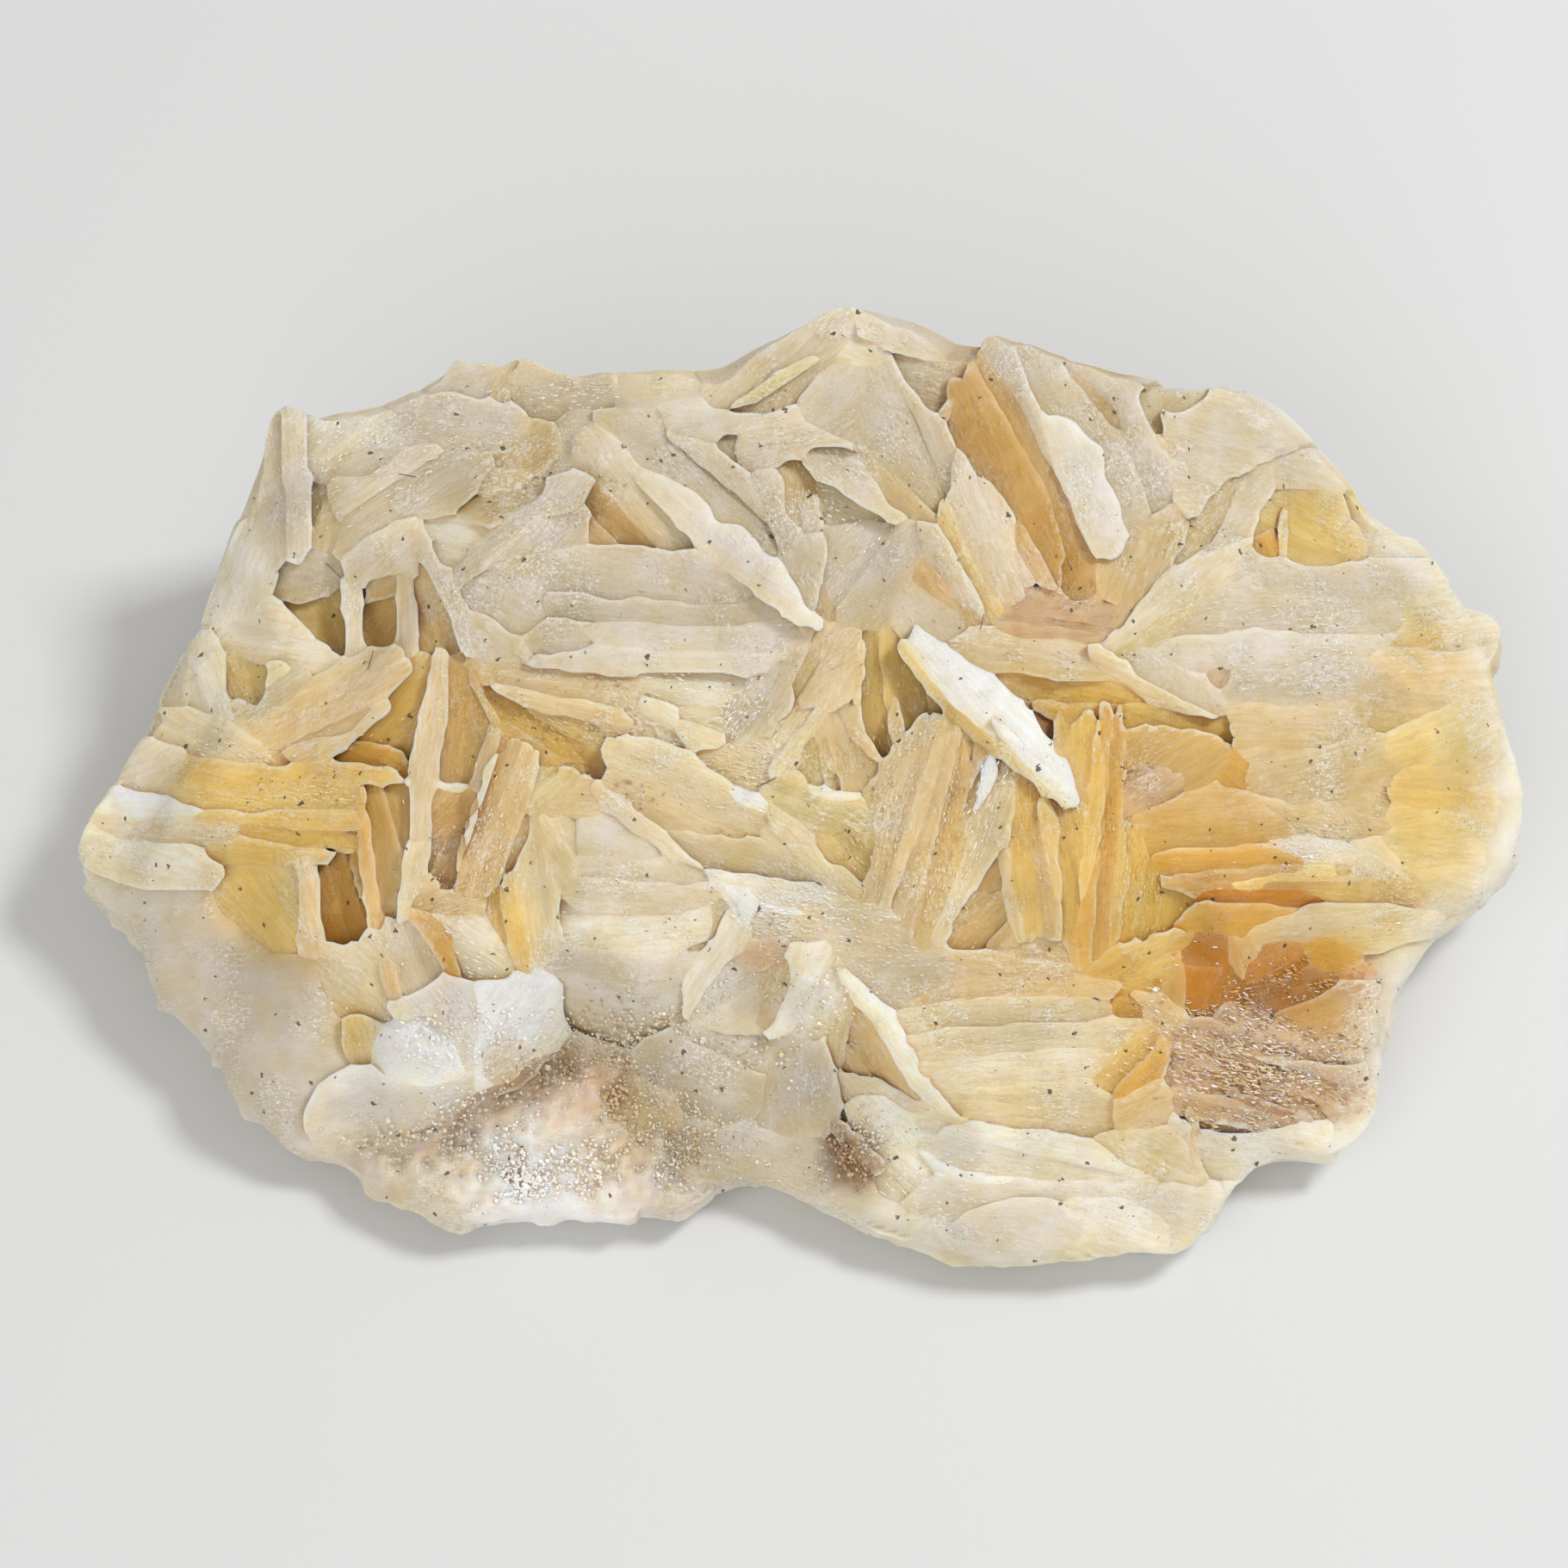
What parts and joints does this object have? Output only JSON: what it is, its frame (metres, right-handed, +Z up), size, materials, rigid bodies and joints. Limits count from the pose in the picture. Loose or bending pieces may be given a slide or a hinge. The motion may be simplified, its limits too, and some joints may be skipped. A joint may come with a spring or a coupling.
{
  "type": "barite crystal cluster",
  "caption": "Flat-lying cluster of lens-shaped barite blades grown together over a smooth rind, cut flat below so that it rests.",
  "frame": {"origin": "middle of the flat cut below, under the middle of the bounding box", "axes": "+X along the cluster's longest way, +Z up out of the cut, -Y towards the low broken front edge"},
  "size_m": [0.1126, 0.0704, 0.0306],
  "materials": {
    "barite": "translucent cream and white crystal, glassy to pearly, honey yellow in the hollows"
  },
  "bodies": {
    "root": {"barite_cluster": "barite"}
  },
  "joints": []
}
